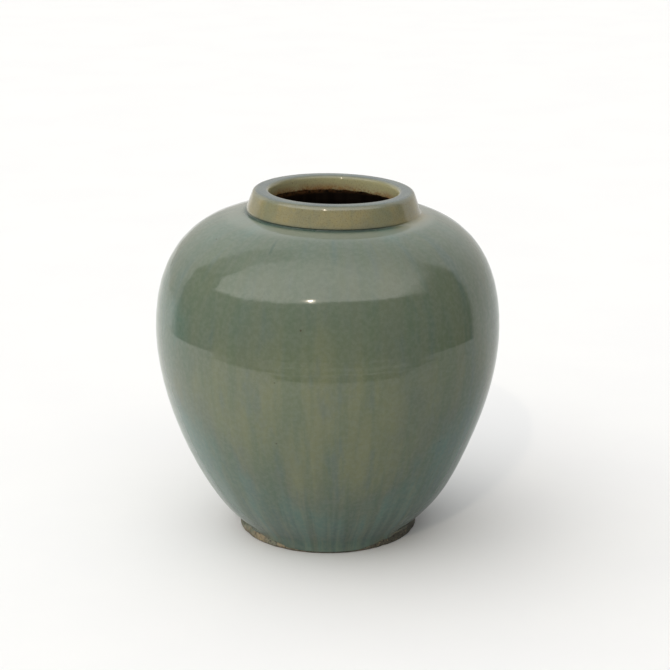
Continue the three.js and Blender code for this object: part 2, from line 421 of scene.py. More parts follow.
def edge_distances(angle):
    """Distances along the profile of the coat's two ragged edges, at each angle."""
    foot = round_the_jar(FOOT_EDGE, angle)
    foot = foot + lobes(angle, 0) * FOOT_LOBES * smoothstep(foot, 1.2, 4)
    foot = np.clip(foot, 0.8, 10.3)
    mouth = round_the_jar(MOUTH_EDGE, angle) + mouth_lobes(angle, 0) * MOUTH_LOBES
    rise_to_crease = CREASE[1] - foot
    fall_into_mouth = (LIP_CORNER[1] - MOUTH_ROUND) - mouth
    return outer.marks["crease"] - rise_to_crease, outer.marks["mouth"] + fall_into_mouth


def outer_rows():
    """Distances of the coat's rows along the profile, for a nominal edge."""
    marks = dict(outer.marks)
    marks["foot_edge"] = marks["crease"] - (CREASE[1] - NOMINAL_FOOT_EDGE)
    marks["mouth_edge"] = marks["mouth"] + LIP_CORNER[1] - MOUTH_ROUND - NOMINAL_MOUTH_EDGE
    rows, start = [], marks["foot_edge"]
    for mark, past, count in OUTER_ROWS:
        end = marks[mark] + past
        rows.extend(np.linspace(start, end, count, endpoint=False))
        start = end
    return np.array(rows + [start]), marks


def stretched_rows(rows, marks, foot_edge, mouth_edge):
    """The rows at each angle, drawn out or pressed together so that they end at its edges."""
    s = np.broadcast_to(rows[:, None], (len(rows), len(foot_edge)))
    low = np.clip((marks["crease"] - s) / (marks["crease"] - marks["foot_edge"]), 0, 1)
    high = np.clip((s - marks["mouth"]) / (marks["mouth_edge"] - marks["mouth"]), 0, 1)
    return s + low * (foot_edge - marks["foot_edge"]) + high * (mouth_edge - marks["mouth_edge"])


def rolled_edge(distance, depth):
    """The depth of the coat's surface near an edge: it curls down to the clay at the edge."""
    t = np.clip(distance / EDGE_ROLL, 0, 1)
    return depth * (1 - np.sqrt(np.clip(1 - (1 - t) ** 2, 0, 1)))


# Heights of the glaze's relief, in millimetres. The streaks are stronger low down.
SWELL, NECK_SWELL, THROWING = 0.16, 0.16, 0.05
STREAK, LOW_STREAK, FINE_STREAK = 0.03, 0.09, 0.025
COLLAR_GROOVE, FOOT_POOL = 0.6, 0.15


def glaze_relief(s, angle):
    """How far the glaze stands proud of its even thickness, in millimetres."""
    marks = outer.marks
    crease, collar = marks["crease"], marks["collar"]
    _, height = outer.at(s)
    body = band(s, crease, crease + 25, collar - 14, collar - 3)
    lower = 1 - smoothstep(height, 60, 190)
    on_neck = band(s, marks["roll"], marks["roll"] + 3, marks["lip_inner"], marks["mouth"])
    relief = SWELL * wobble(angle, height) + THROWING * throwing(angle, height)
    relief = relief + (STREAK + LOW_STREAK * lower) * streaks(angle, height)
    relief = relief + FINE_STREAK * lower * fine_streaks(angle, height)
    relief = relief * body + NECK_SWELL * rim_wobble(angle, 0) * on_neck
    groove = bell(s, collar + 0.9, 0.7) * (1 - round_the_jar(COLLAR_FILL, angle))
    pool = bell(s, crease, 2.4) * (1 - round_the_jar(FOOT_FILL, angle))
    return relief - COLLAR_GROOVE * groove + FOOT_POOL * pool


def glaze_tone(angle, height):
    """How warm the glaze is, from 0 for teal to 1 for olive, in broad soft areas."""
    tone = np.full(angle.shape, AVERAGE_TONE)
    for centre, level, width, rise, warmth in TONE_AREAS:
        away = azimuth_from(angle, centre)
        tone = tone + warmth * np.exp(-((away / width) ** 2) - ((height - level) / rise) ** 2)
    return np.clip(tone, 0, 1)


def glaze_layers(s, angle, foot_edge, mouth_edge):
    """Values that the glaze's material reads at each point of the coat."""
    marks = outer.marks
    collar, roll, lip_inner = marks["collar"], marks["roll"], marks["lip_inner"]
    _, height = outer.at(s)
    fill = round_the_jar(COLLAR_FILL, angle)
    flooded = smoothstep(round_the_jar(FOOT_FILL, angle), 0.75, 1)
    # Pale bands on the lip's rounded edges and on the collar's roll: thinner glaze, and a painted
    # highlight.
    lip_highlight_and_thin_glaze = bell(s, marks["collar_top"] + 1.2, 1.1) + 0.25 * bell(s, lip_inner + 3, 1.2)
    return {
        # Pooled glaze under the collar, darkened also as painted shade in the crease.
        "pool": band(s, collar - 3.4, collar - 1.8, roll - 1.6, roll - 0.4) * (1 - fill),
        "thin_glaze_and_highlight": np.clip(bell(s, roll + 0.3, 1.1) * (1 - fill) * 0.8 + lip_highlight_and_thin_glaze, 0, 1),
        "smear": fill * bell(s, collar, 8),
        # A painted reflection: the shoulder just under the collar is lightened.
        "painted_shoulder_sheen": band(s, collar - 22, collar - 12, collar - 6, collar - 2),
        "on_collar": smoothstep(s, collar - 0.5, roll),
        "rim_top": band(s, marks["collar_top"], marks["lip_outer"], lip_inner, marks["mouth"]),
        "in_mouth": smoothstep(s, lip_inner + 1, marks["mouth"]),
        "mouth_edge": 1 - smoothstep(mouth_edge - s, 0.3, 8.5),
        "foot_edge": (1 - smoothstep(s - foot_edge, 0.2, 9.0)) * (1 - 0.9 * flooded),
        "tone": glaze_tone(angle, height),
    }


def celadon_coat():
    angle = angles(AROUND)
    foot_edge, mouth_edge = edge_distances(angle)
    rows, marks = outer_rows()
    s = stretched_rows(rows, marks, foot_edge, mouth_edge)
    turn = np.broadcast_to(angle, s.shape)
    depth = rolled_edge(s - foot_edge, EDGE_DEPTH) + rolled_edge(mouth_edge - s, MOUTH_EDGE_DEPTH)
    faded = smoothstep(s - foot_edge, 0, 3) * smoothstep(mouth_edge - s, 0, 3)
    depth = depth - glaze_relief(s, turn) * faded
    radius, height = outer.at(s, depth)
    for softer, mark, table, width in (
        (outer_filled, "collar", COLLAR_FILL, 12),
        (outer_flooded, "crease", FOOT_FILL, 26),
    ):
        fill = corner_fill(s, turn, mark, table, width)
        soft_radius, soft_height = softer.at(s, depth)
        radius = radius + (soft_radius - radius) * fill
        height = height + (soft_height - height) * fill
    outside = settle(radius, height, turn)

    # The clay side of the coat, from the mouth back down to the foot.
    inside_rows = inner_side_rows(rows, marks)
    s_in = stretched_rows(inside_rows, marks, foot_edge, mouth_edge)
    turn_in = np.broadcast_to(angle, s_in.shape)
    inside = settle(*outer.at(s_in, clay_side_depth(s_in)), turn_in)

    outer_layers = glaze_layers(s, turn, foot_edge, mouth_edge)
    inner_layers = glaze_layers(s_in, turn_in, foot_edge, mouth_edge)
    layers = {k: np.concatenate([v, inner_layers[k]]) for k, v in outer_layers.items()}
    return closed_ring("celadon_coat", np.concatenate([outside, inside]), layers)


def inner_side_rows(rows, marks):
    """Rows for the clay side of the coat, from the mouth down: all of them near a corner.

    A long step across the collar's crease or the foot's crease would cut through the glaze.
    """
    painted_shoulder_sheen = (rows > marks["collar"] - CORNER_REACH) & (rows < marks["collar"] + 1.6)
    by_crease = np.abs(rows - marks["crease"]) < CORNER_REACH
    spaced = np.arange(len(rows)) % INNER_SIDE_STEP == 0
    spaced = spaced & ((rows < marks["collar"] - CORNER_REACH) | (rows > marks["roll"] + 2))
    clear_of_edges = (rows > rows[0] + 1.2) & (rows < rows[-1] - 2.5)
    return rows[(painted_shoulder_sheen | by_crease | spaced) & clear_of_edges][::-1]


def corner_fill(s, angle, mark, table, width):
    """How far the coat follows a softer profile instead of the crisp one, near a corner."""
    away = np.abs(s - outer.marks[mark])
    return round_the_jar(table, angle) * (1 - smoothstep(away, width * 0.6, width * 1.4))


def clay_side_depth(s):
    """How deep the clay side of the coat lies: less over the foot ring and in the mouth."""
    marks = outer.marks
    depth = FOOT_GLAZE_DEPTH + (GLAZE_DEPTH - FOOT_GLAZE_DEPTH) * smoothstep(
        s, marks["crease"], marks["crease"] + 6)
    depth = depth + (MOUTH_GLAZE_DEPTH - GLAZE_DEPTH) * smoothstep(
        s, marks["lip_inner"] + 3, marks["mouth"] + 1)
    return depth


# --- The other pieces ---

LINER_THICKNESS = 0.7
LINER_NECK_DEPTH = (0.1, 0.7)  # in the neck the liner is thin, under the celadon's edge
LINER_TOP = 295.2  # its upper edge, hidden behind the celadon
LINER_ROWS = 120

ring_marks = waves((0, 1), (40, 75), 8)
ring_drift = waves((1, 6), (3, 12), 8)


def liner_coat():
    """The brown coat over the floor, the wall and the throat, with the ridges of throwing."""
    angle = angles(AROUND)
    end = inner.marks["neck"] + LINER_TOP - NECK_INSIDE[1]
    s = np.linspace(2, end, LINER_ROWS)[:, None]
    turn = np.broadcast_to(angle, (LINER_ROWS, AROUND))
    neck = smoothstep(s, inner.marks["neck"] - 6, inner.marks["neck"] + 4)
    _, height = inner.at(s)
    wall = smoothstep(s, inner.marks["floor"], inner.marks["floor"] + 25) * (1 - neck)
    relief = wall * (0.22 * ring_marks(turn, height) + 0.12 * ring_drift(turn, height))
    clay_depth = LINER_OFFSET + (LINER_NECK_DEPTH[0] - LINER_OFFSET) * neck
    open_depth = LINER_OFFSET + LINER_THICKNESS
    open_depth = open_depth + (LINER_NECK_DEPTH[1] - open_depth) * neck
    against_clay = settle(*inner.at(s, clay_depth), turn)
    facing_in = settle(*inner.at(s, open_depth + relief), turn)
    grid = np.concatenate([against_clay, facing_in[::-1]])
    middle = FLOOR_HEIGHT + LINER_OFFSET
    low = (0, 0, middle * MM)
    high = (0, 0, (middle + LINER_THICKNESS) * MM)
    return closed_disc("liner_coat", grid, low, high)


def wall_outline(outside, inside, groove_low, groove_high, steps):
    """The closed outline of a wall: up its outside, over, down its inside, and under."""
    out_s = np.linspace(outside[0], outside[1], steps)
    in_s = np.linspace(inside[1], inside[0], steps)
    out_line = np.stack(outer.at(out_s, CLAY_DEPTH), -1)
    in_line = np.stack(inner.at(in_s), -1)

    def edge(a, b, depth):
        ledge = [a + (b - a) * t for t in (0.12, 0.5, 0.88)]
        if depth:
            ledge[1] = ledge[1] - np.array([0, depth])
        return np.array(ledge)

    return np.concatenate(
        [out_line, edge(out_line[-1], in_line[0], groove_high), in_line,
         edge(in_line[-1], out_line[0], groove_low)]
    )


def spun(outline, around):
    """The radii, heights and angles of an outline at every column round the jar."""
    radius, height = (np.repeat(outline[:, i][:, None], around, 1) for i in (0, 1))
    return radius, height, np.broadcast_to(angles(around), radius.shape)


def turn_outline(name, outline):
    """A ring-shaped solid with the same outline all the way round."""
    return closed_ring(name, settle(*spun(outline, AROUND_HIDDEN)))


JOINT_LEVELS = np.array([0, CLEAR, CLEAR + SLIP, CLEAR + SLIP + CLEAR])
NECK_JOINT_DROP = 1.4  # the neck's joint starts this far under the crease


def joint_places():
    """For each luting joint, where its four levels lie along the outer and inner profiles."""
    crease, inner_floor = outer.marks["crease"], inner.marks["floor"]
    base = [
        (clay_distance_at_height(FLOOR_HEIGHT + level, crease),
         inner.distance_at_height(FLOOR_HEIGHT + max(level, 0.05), inner_floor))
        for level in JOINT_LEVELS
    ]
    belly = [
        (outer.marks["belly"] + level - JOINT_LEVELS[-1],
         inner.marks["belly"] + level - JOINT_LEVELS[-1])
        for level in JOINT_LEVELS
    ]
    neck_height = COLLAR_BASE[1] - NECK_JOINT_DROP
    neck = [
        (outer.marks["collar"] + level,
         inner.distance_at_height(neck_height + level, inner.marks["throat"]))
        for level in JOINT_LEVELS
    ]
    return base, belly, neck


def clay_distance_at_height(height, after):
    """Where the clay's outer surface, under the glaze, reaches a height."""
    _, heights = outer.at(outer.s, CLAY_DEPTH)
    start = np.searchsorted(outer.s, after)
    return outer.s[start + np.argmax(heights[start:] >= height)]


def wall_between(name, low, high, grooves, steps):
    outline = wall_outline((low[0], high[0]), (low[1], high[1]), *grooves, steps)
    return turn_outline(name, outline)


WALL_STEPS = 44
SLIP_STEPS = 4
NECK_CLAY_TOP = 293.6  # of the collar's clay, inside the mouth
MOUTH_CLAY_DROP = 5.2  # how far into the mouth the collar's clay follows the outer profile


def walls_and_slips():
    base, belly, neck = joint_places()
    mouth_in = inner.marks["neck"] + NECK_CLAY_TOP - NECK_INSIDE[1]
    mouth = (outer.marks["mouth"] + MOUTH_CLAY_DROP, mouth_in)
    plain, below, above, both = (0, 0), (GROOVE, 0), (0, GROOVE), (GROOVE, GROOVE)
    pieces = (
        ("lower_body", "thrown_lower_body", base[3], belly[0], above, WALL_STEPS),
        ("upper_body", "thrown_upper_body", belly[3], neck[0], both, WALL_STEPS),
        ("neck_collar", "thrown_neck_collar", neck[3], mouth, below, WALL_STEPS),
        ("base_luting_slip", "base_slip_bed", base[1], base[2], plain, SLIP_STEPS),
        ("belly_luting_slip", "belly_slip_bed", belly[1], belly[2], both, SLIP_STEPS),
        ("neck_luting_slip", "neck_slip_bed", neck[1], neck[2], both, SLIP_STEPS),
    )
    made = {node: wall_between(*piece) for node, *piece in pieces}
    made["foot_luting_slip"] = turn_outline("foot_slip_bed", foot_slip_outline())
    return made


def foot_slip_outline():
    inset = 0.7
    low, high = FOOT_TOP + CLEAR, FOOT_TOP + CLEAR + SLIP
    a, b = FOOT_INNER_RADIUS + inset, FOOT_TOP_RADIUS - inset
    bow = 0.15
    return np.array([
        (b, low), (b + bow, (low + high) / 2), (b, high), ((a + b) / 2, high),
        (a, high), (a - bow, (low + high) / 2), (a, low), ((a + b) / 2, low),
    ])


# Chips in the foot's bottom edge: (azimuth, depth, half width).
FOOT_CHIPS = (
    (-64, 0.6, 4), (-31, 0.4, 3), (38, 0.5, 3), (71, 0.6, 4), (122, 1.0, 4), (-142, 1.4, 6),
)
foot_rough = waves((20, 120), (20, 120), 30)
foot_wave = waves((2, 9), (0, 0), 6)


def foot_ring():
    """The bare ring under the jar, worn round its bottom edges and chipped here and there."""
    bevel = FOOT_BEVEL
    side_start, side_end = (FOOT_RADIUS, bevel + 0.6), (FOOT_TOP_RADIUS + 0.3, FOOT_TOP)
    outline = np.concatenate([
        rounded((FOOT_RADIUS - bevel - 0.4, 0), (FOOT_RADIUS - 0.1, 0), side_start, 8),
        sweep(side_start, ((0, 3), (0.5, -2)), side_end, 14)[1:],
        [(75, FOOT_TOP), (70, FOOT_TOP), (65, FOOT_TOP)],
        rounded((FOOT_INNER_RADIUS + 0.6, FOOT_TOP), (FOOT_INNER_RADIUS, FOOT_TOP),
                (FOOT_INNER_RADIUS, FOOT_TOP - 0.6), 3),
        rounded((FOOT_INNER_RADIUS, bevel + 1), (FOOT_INNER_RADIUS, 0),
                (FOOT_INNER_RADIUS + bevel + 0.8, 0), 8),
        [(67, 0), (70, 0), (73, 0)],
    ])
    radius, height, angle = spun(outline, AROUND)
    outside = smoothstep(radius, 76, 77.5)
    radius -= outside * (0.05 + 0.06 * foot_rough(angle, height * 4))
    low = 1 - smoothstep(height, 0.5, 3.2)
    for azimuth, depth, width in FOOT_CHIPS:
        away = azimuth_from(angle, azimuth) * math.radians(FOOT_RADIUS)
        chip = np.exp(-((away / width) ** 2)) * low * outside
        radius -= chip * depth * 0.7
        height += chip * depth * 0.5
    height += (1 - smoothstep(height, 0, 0.4)) * np.clip(0.06 + 0.06 * foot_wave(angle, 0), 0, 1)
    return closed_ring("turned_foot_ring", settle(radius, height, angle))


TRIM_TURNS = 15  # turns of the trimming spiral under the base
TRIM_DEPTH = 0.16
SHELF = 1.8  # from the foot ring's top to the slab, across the bed of slip


def base_slab():
    """The slab that closes the jar. Its underside keeps the spiral left by the trimming tool."""
    shelf_height = FOOT_TOP + SHELF
    edge_start = clay_distance_at_height(shelf_height, outer.marks["crease"])
    edge_end = clay_distance_at_height(FLOOR_HEIGHT, outer.marks["crease"])
    radii = np.linspace(1.5, RECESS_RADIUS - 1.6, 66)
    underside = np.stack([radii, np.full_like(radii, RECESS_TOP)], -1)
    boss_edge = rounded((RECESS_RADIUS - 1.2, RECESS_TOP), (RECESS_RADIUS, RECESS_TOP),
                        (RECESS_RADIUS, RECESS_TOP + 1.2), 5)
    shelf = [(RECESS_RADIUS, shelf_height - 0.2), (RECESS_RADIUS + 0.3, shelf_height),
             (70, shelf_height), (76, shelf_height)]
    edge = np.stack(outer.at(np.linspace(edge_start, edge_end, 8), CLAY_DEPTH), -1)
    floor = [(r, FLOOR_HEIGHT) for r in (84, 75, 60, 40, 20, 8)]
    outline = np.concatenate([underside, boss_edge, shelf, edge, floor])
    radius, height, angle = spun(outline, AROUND)
    under = (height <= RECESS_TOP + 0.01) * smoothstep(radius, 4, 9)
    under = under * (1 - smoothstep(radius, RECESS_RADIUS - 5, RECESS_RADIUS - 1.5))
    spiral = np.cos(2 * math.pi * TRIM_TURNS * radius / RECESS_RADIUS + angle)
    height += under * (TRIM_DEPTH * (0.5 + 0.5 * spiral) + 0.1)
    grid = settle(radius, height, angle)
    low = (0, 0, RECESS_TOP * MM)
    high = (0, 0, FLOOR_HEIGHT * MM)
    return closed_disc("turned_base_slab", grid, low, high)


# --- Materials ---


class Nodes:
    """A short way to write a material's or the world's node tree."""

    def __init__(self, tree):
        self.tree = tree
        tree.nodes.clear()

    def add(self, kind, inputs=(), **settings):
        node = self.tree.nodes.new(kind)
        for name, value in settings.items():
            setattr(node, name, value)
        for key, value in dict(inputs).items():
            self.set(node.inputs[key], value)
        return node

    def set(self, socket, value):
        if isinstance(value, bpy.types.NodeSocket):
            self.tree.links.new(value, socket)
        elif socket.type == "RGBA" and len(value) == 3:
            socket.default_value = (*value, 1)
        else:
            socket.default_value = value

    def math(self, operation, a, b=0.0):
        return self.add("ShaderNodeMath", {0: a, 1: b}, operation=operation).outputs[0]

    def sum(self, *values):
        return reduce(lambda a, b: self.math("ADD", a, b), values)

    def product(self, *values):
        return reduce(lambda a, b: self.math("MULTIPLY", a, b), values)

    def vector(self, operation, a, b=(0, 0, 0)):
        """A vector operation. A distance or a dot product gives a number."""
        node = self.add("ShaderNodeVectorMath", {0: a, 1: b}, operation=operation)
        return node.outputs["Value" if operation in ("DISTANCE", "DOT_PRODUCT") else "Vector"]

    def remap(self, value, low, high, to_low=0.0, to_high=1.0, smooth=True):
        node = self.add(
            "ShaderNodeMapRange",
            {"Value": value, "From Min": low, "From Max": high,
             "To Min": to_low, "To Max": to_high},
            interpolation_type="SMOOTHSTEP" if smooth else "LINEAR",
        )
        return node.outputs["Result"]

    def mix(self, factor, a, b, blend="MIX"):
        node = self.add("ShaderNodeMix", {0: factor}, data_type="RGBA", blend_type=blend)
        self.set(node.inputs[6], a)
        self.set(node.inputs[7], b)
        return node.outputs[2]

    def over(self, base, colour, *shares):
        """A colour laid over a base, as strongly as the product of the shares."""
        return self.mix(self.product(*shares), base, colour)

    def noise(self, vector, scale, detail=2.0, roughness=0.5, distortion=0.0):
        node = self.add(
            "ShaderNodeTexNoise",
            {"Vector": vector, "Scale": scale, "Detail": detail, "Roughness": roughness,
             "Distortion": distortion},
        )
        return node.outputs["Fac"]

    def ramp(self, value, stops):
        """A grey value that runs straight from stop to stop, stops being (place, value)."""
        node = self.add("ShaderNodeValToRGB", {0: value})
        elements = node.color_ramp.elements
        while len(elements) < len(stops):
            elements.new(0.5)
        for element, (place, level) in zip(elements, stops):
            element.position, element.color = place, (level, level, level, 1)
        return node.outputs["Color"]

    def layer(self, name):
        return self.add("ShaderNodeAttribute", attribute_name=name).outputs["Fac"]

    def split(self, vector):
        node = self.add("ShaderNodeSeparateXYZ", {0: vector})
        return node.outputs[0], node.outputs[1], node.outputs[2]

    def join(self, x, y, z):
        return self.add("ShaderNodeCombineXYZ", {0: x, 1: y, 2: z}).outputs[0]

    def point(self):
        """Where the shaded point is, in metres in the row frame: each piece sits at the origin."""
        return self.add("ShaderNodeTexCoord").outputs["Object"]

    def drawn(self, around, up):
        """Coordinates round the axis and up it, for patterns drawn out along the height."""
        x, y, z = self.split(self.point())
        unit_x, unit_y, _ = self.split(self.vector("NORMALIZE", self.join(x, y, 0.0)))
        pairs = ((unit_x, around), (unit_y, around), (z, up))
        return self.join(*(self.product(value, scale) for value, scale in pairs))

    def bump(self, height, distance, below=None):
        inputs = {"Height": height, "Distance": distance, "Strength": 1.0}
        if below is not None:
            inputs["Normal"] = below
        return self.add("ShaderNodeBump", inputs).outputs["Normal"]

    def principled(self, inputs):
        shader = self.add("ShaderNodeBsdfPrincipled", inputs)
        self.add("ShaderNodeOutputMaterial", {"Surface": shader.outputs[0]})


def new_material(name):
    material = bpy.data.materials.new(name)
    material.use_nodes = True
    return material, Nodes(material.node_tree)


OLIVE = (0.160, 0.175, 0.100)
STRAW = (0.200, 0.208, 0.122)
SEA = (0.116, 0.143, 0.103)
GREEN = (0.088, 0.132, 0.088)
TEAL = (0.092, 0.160, 0.134)
BLUE = (0.090, 0.134, 0.138)
DEEP = (0.048, 0.084, 0.068)
KHAKI = (0.285, 0.245, 0.122)
DRAB = (0.225, 0.208, 0.122)
MOSS = (0.168, 0.186, 0.118)
SLATE = (0.050, 0.076, 0.078)
LIT_MOUTH = (0.385, 0.360, 0.195)
PALE = (0.230, 0.250, 0.205)
BUFF = (0.230, 0.198, 0.118)
IRON = (0.055, 0.038, 0.022)
RUST = (0.240, 0.110, 0.035)

# Pinholes: (place, radius), in metres.
PINHOLES = (
    ((-0.0927, -0.0569, 0.2743), 0.0011), ((-0.0417, -0.1341, 0.1212), 0.0010),
    ((-0.0498, -0.1410, 0.1853), 0.0008), ((0.0944, -0.1043, 0.1219), 0.0009),
)
# A short dark mark on the shoulder: (start, end, half width), in metres.
SHORT_DARK_MARK = ((-0.0480, -0.1043, 0.2708), (-0.0412, -0.0858, 0.2811), 0.0021)


def short_dark_mark(n):
    """1 along a short line on the shoulder, fading out across it and towards its ends."""
    start, end, half_width = SHORT_DARK_MARK
    along = Vector(end) - Vector(start)
    from_start = n.vector("SUBTRACT", n.point(), start)
    share = n.vector("DOT_PRODUCT", from_start, along / along.length_squared)
    share = n.math("MINIMUM", n.math("MAXIMUM", share, 0.0), 1.0)
    nearest = n.vector("MULTIPLY", n.join(share, share, share), along)
    across = n.remap(n.vector("DISTANCE", from_start, nearest), 0.0, half_width, 1.0, 0.0)
    return n.product(across, n.remap(share, 0.0, 0.35), n.remap(share, 0.6, 1.0, 1.0, 0.3))


def celadon_material():
    material, n = new_material("celadon_gloss")
    _, _, z = n.split(n.point())
    wide = n.noise(n.drawn(2.6, 7.0), 1.0)
    streak = n.noise(n.drawn(9.0, 8.0), 1.0)
    fine = n.noise(n.drawn(26.0, 14.0), 1.0, 2.0, 0.55)
    veil = n.noise(n.drawn(5.0, 11.0), 1.7, 3.0, 0.6)
    cloud = n.noise(n.point(), 22.0, 4.0, 0.6)
    mottle = n.noise(n.point(), 260.0, 3.0, 0.6)

    # Broad areas run from teal to olive, and streaks of glaze cross them.
    low = n.remap(z, 0.02, 0.20, 1.0, 0.0)
    blur = n.sum(n.product(wide, 0.8), n.product(cloud, 0.7), n.product(veil, 0.5), -1.0)
    tone = n.sum(n.layer("tone"), n.product(blur, n.remap(z, 0.13, 0.23, 0.95, 0.4)))
    body = n.mix(n.remap(tone, 0.12, 0.50), TEAL, SEA)
    body = n.over(body, OLIVE, n.remap(tone, 0.40, 0.85))
    body = n.over(body, STRAW, n.remap(veil, 0.50, 0.70), low, 0.3)
    amount = n.sum(n.product(streak, 0.8), n.product(fine, 0.35), n.product(cloud, 0.3))
    run = n.remap(amount, 0.62, 0.90)
    body = n.over(body, GREEN, run, n.remap(z, 0.02, 0.27, 0.75, 0.35))
    near_foot = n.remap(z, 0.012, 0.10, 1.0, 0.0)
    narrow = n.remap(n.noise(n.drawn(13.0, 6.0), 1.0), 0.42, 0.60)
    body = n.over(body, DEEP, narrow, near_foot, 0.5)
    pale_run = n.remap(n.noise(n.drawn(11.0, 6.0), 1.7), 0.50, 0.66)
    body = n.over(body, MOSS, pale_run, near_foot, 0.28)
    # Painted light: PALE lifts the glaze near the foot, against the shade there.
    body = n.over(body, PALE, near_foot, 0.13)
    cool = n.remap(n.noise(n.drawn(4.0, 9.0), 2.3, 3.0, 0.6), 0.50, 0.74)
    body = n.over(body, BLUE, cool, n.remap(z, 0.05, 0.22, 0.45, 0.3))
    # Painted reflection: PALE lightens the shoulder just under the collar.
    body = n.over(body, PALE, n.layer("painted_shoulder_sheen"), 0.45)

    # The collar carries an olive, thinner coat, and its flat top a bluer one.
    patch = n.noise(n.point(), 62.0, 4.0, 0.6, 0.3)
    collar = n.mix(n.remap(patch, 0.36, 0.66, 0.25, 1.0), KHAKI, DRAB)
    collar = n.over(collar, MOSS, n.remap(veil, 0.50, 0.66, 0.0, 0.25))
    collar = n.over(collar, MOSS, n.remap(tone, 0.34, 0.05, 0.0, 0.5))
    slate = n.mix(n.remap(cloud, 0.42, 0.62, 0.0, 0.45), SLATE, SEA)
    for colour, layer, share in (
        (collar, "on_collar", 1.0), (slate, "rim_top", 1.0), (LIT_MOUTH, "in_mouth", 1.0),
        # DEEP under the collar is pooled glaze and painted shade in the crease.
        # PALE on the lip and the roll is thinner glaze and a painted highlight.
        (PALE, "thin_glaze_and_highlight", 0.4), (DEEP, "pool", 0.9),
    ):
        body = n.over(body, colour, n.layer(layer), share)
    body = n.over(body, KHAKI, n.layer("smear"), n.remap(cloud, 0.3, 0.6), 0.7)

    # Iron shows through at the two ragged edges.
    ragged = n.remap(n.noise(n.point(), 520.0, 4.0, 0.7), 0.38, 0.62)
    mouth_edge, foot_edge = n.layer("mouth_edge"), n.layer("foot_edge")
    body = n.over(body, RUST, mouth_edge, n.remap(cloud, 0.38, 0.58), 0.8)
    body = n.over(body, RUST, mouth_edge, mouth_edge, ragged)
    body = n.over(body, BUFF, foot_edge, n.remap(patch, 0.35, 0.60), 0.75)
    body = n.over(body, IRON, foot_edge, foot_edge, ragged, 0.7)

    # Small variations, and a few iron specks.
    body = n.over(body, PALE, n.remap(mottle, 0.35, 0.7, 0.0, 0.17))
    grain = n.remap(n.noise(n.point(), 1000.0, 3.0, 0.7), 0.50, 0.68)
    body = n.over(body, IRON, grain, n.sum(n.product(n.layer("on_collar"), 0.22), 0.10))
    specks = n.add("ShaderNodeTexVoronoi", {"Vector": n.point(), "Scale": 95.0}, feature="F1")
    chosen = n.remap(n.split(specks.outputs["Color"])[0], 0.965, 0.97)
    speck = n.product(n.remap(specks.outputs["Distance"], 0.05, 0.11, 1.0, 0.0), chosen)
    for place, radius in PINHOLES:
        away = n.vector("DISTANCE", n.point(), place)
        speck = n.math("MAXIMUM", speck, n.remap(away, radius * 0.4, radius, 1.0, 0.0))
    body = n.over(body, IRON, speck, 0.75)
    body = n.over(body, DEEP, short_dark_mark(n), 0.6)

    normal = n.bump(n.noise(n.point(), 60.0), 0.00007)
    normal = n.bump(n.noise(n.point(), 420.0), 0.000012, below=normal)
    normal = n.bump(n.product(speck, -1.0), 0.00015, below=normal)
    roughness = n.remap(n.noise(n.point(), 45.0, 4.0, 0.6), 0.3, 0.7, 0.06, 0.11)
    roughness = n.sum(roughness, n.product(n.layer("pool"), 0.2))
    n.principled({"Base Color": body, "Roughness": roughness, "IOR": 1.5, "Normal": normal})
    return material


CLAY_TAN = (0.360, 0.285, 0.172)
CLAY_BROWN = (0.145, 0.110, 0.072)
CLAY_DARK = (0.030, 0.028, 0.022)
CLAY_GREY = (0.230, 0.235, 0.175)
CLAY_WASH = (0.135, 0.175, 0.120)  # a wash of glaze left on the foot
CLAY_DARKER_SIDE = (0.115, 0.112, 0.084)


def clay_material():
    material, n = new_material("bare_stoneware")
    patches = n.noise(n.point(), 55.0, 5.0, 0.65)
    grit = n.noise(n.point(), 900.0, 3.0, 0.7)
    blotch = n.noise(n.point(), 150.0, 4.0, 0.65)
    x, _, z = n.split(n.point())
    colour = n.mix(n.remap(patches, 0.38, 0.60), CLAY_TAN, CLAY_GREY)
    colour = n.over(colour, CLAY_BROWN, n.remap(blotch, 0.46, 0.60), 0.8)
    washed = n.remap(patches, 0.44, 0.58)
    colour = n.over(colour, CLAY_WASH, washed, n.remap(z, 0.002, 0.008), 0.7)
    # The clay is darker, with dark grains, towards +X.
    darker_side = n.remap(n.sum(x, n.product(patches, 0.05)), 0.030, 0.075)
    colour = n.over(colour, CLAY_DARKER_SIDE, darker_side, 0.9)
    colour = n.over(colour, CLAY_DARK, darker_side, n.remap(grit, 0.4, 0.6), 0.6)
    pits = n.remap(n.noise(n.point(), 380.0, 3.0, 0.6), 0.53, 0.62)
    colour = n.over(colour, CLAY_DARK, pits, 0.8)
    flecks = n.remap(n.noise(n.point(), 300.0, 3.0, 0.6, 0.4), 0.59, 0.66)
    colour = n.over(colour, CLAY_TAN, flecks, 0.7)
    # Painted shadow: the clay darkens over its lowest 2 mm, next to the floor.
    colour = n.over(colour, CLAY_DARK, n.remap(z, 0.0003, 0.0022, 1.0, 0.0), 0.55)
    normal = n.bump(grit, 0.00025)
    normal = n.bump(blotch, 0.0004, below=normal)
    roughness = n.remap(patches, 0.3, 0.7, 0.62, 0.92)
    n.principled({"Base Color": colour, "Roughness": roughness, "IOR": 1.45, "Normal": normal})
    return material


SLIP_PALE, SLIP_DARK = (0.33, 0.26, 0.16), (0.24, 0.18, 0.10)
# The liner is a dark brown glaze; its colours here are pushed almost to black as painted shade in
# the jar's hollow.
LINER_SHADED_BLACK, LINER_SHADED_BROWN = (0.0030, 0.0016, 0.0010), (0.0060, 0.0030, 0.0016)
LINER_RUST = (0.110, 0.050, 0.018)


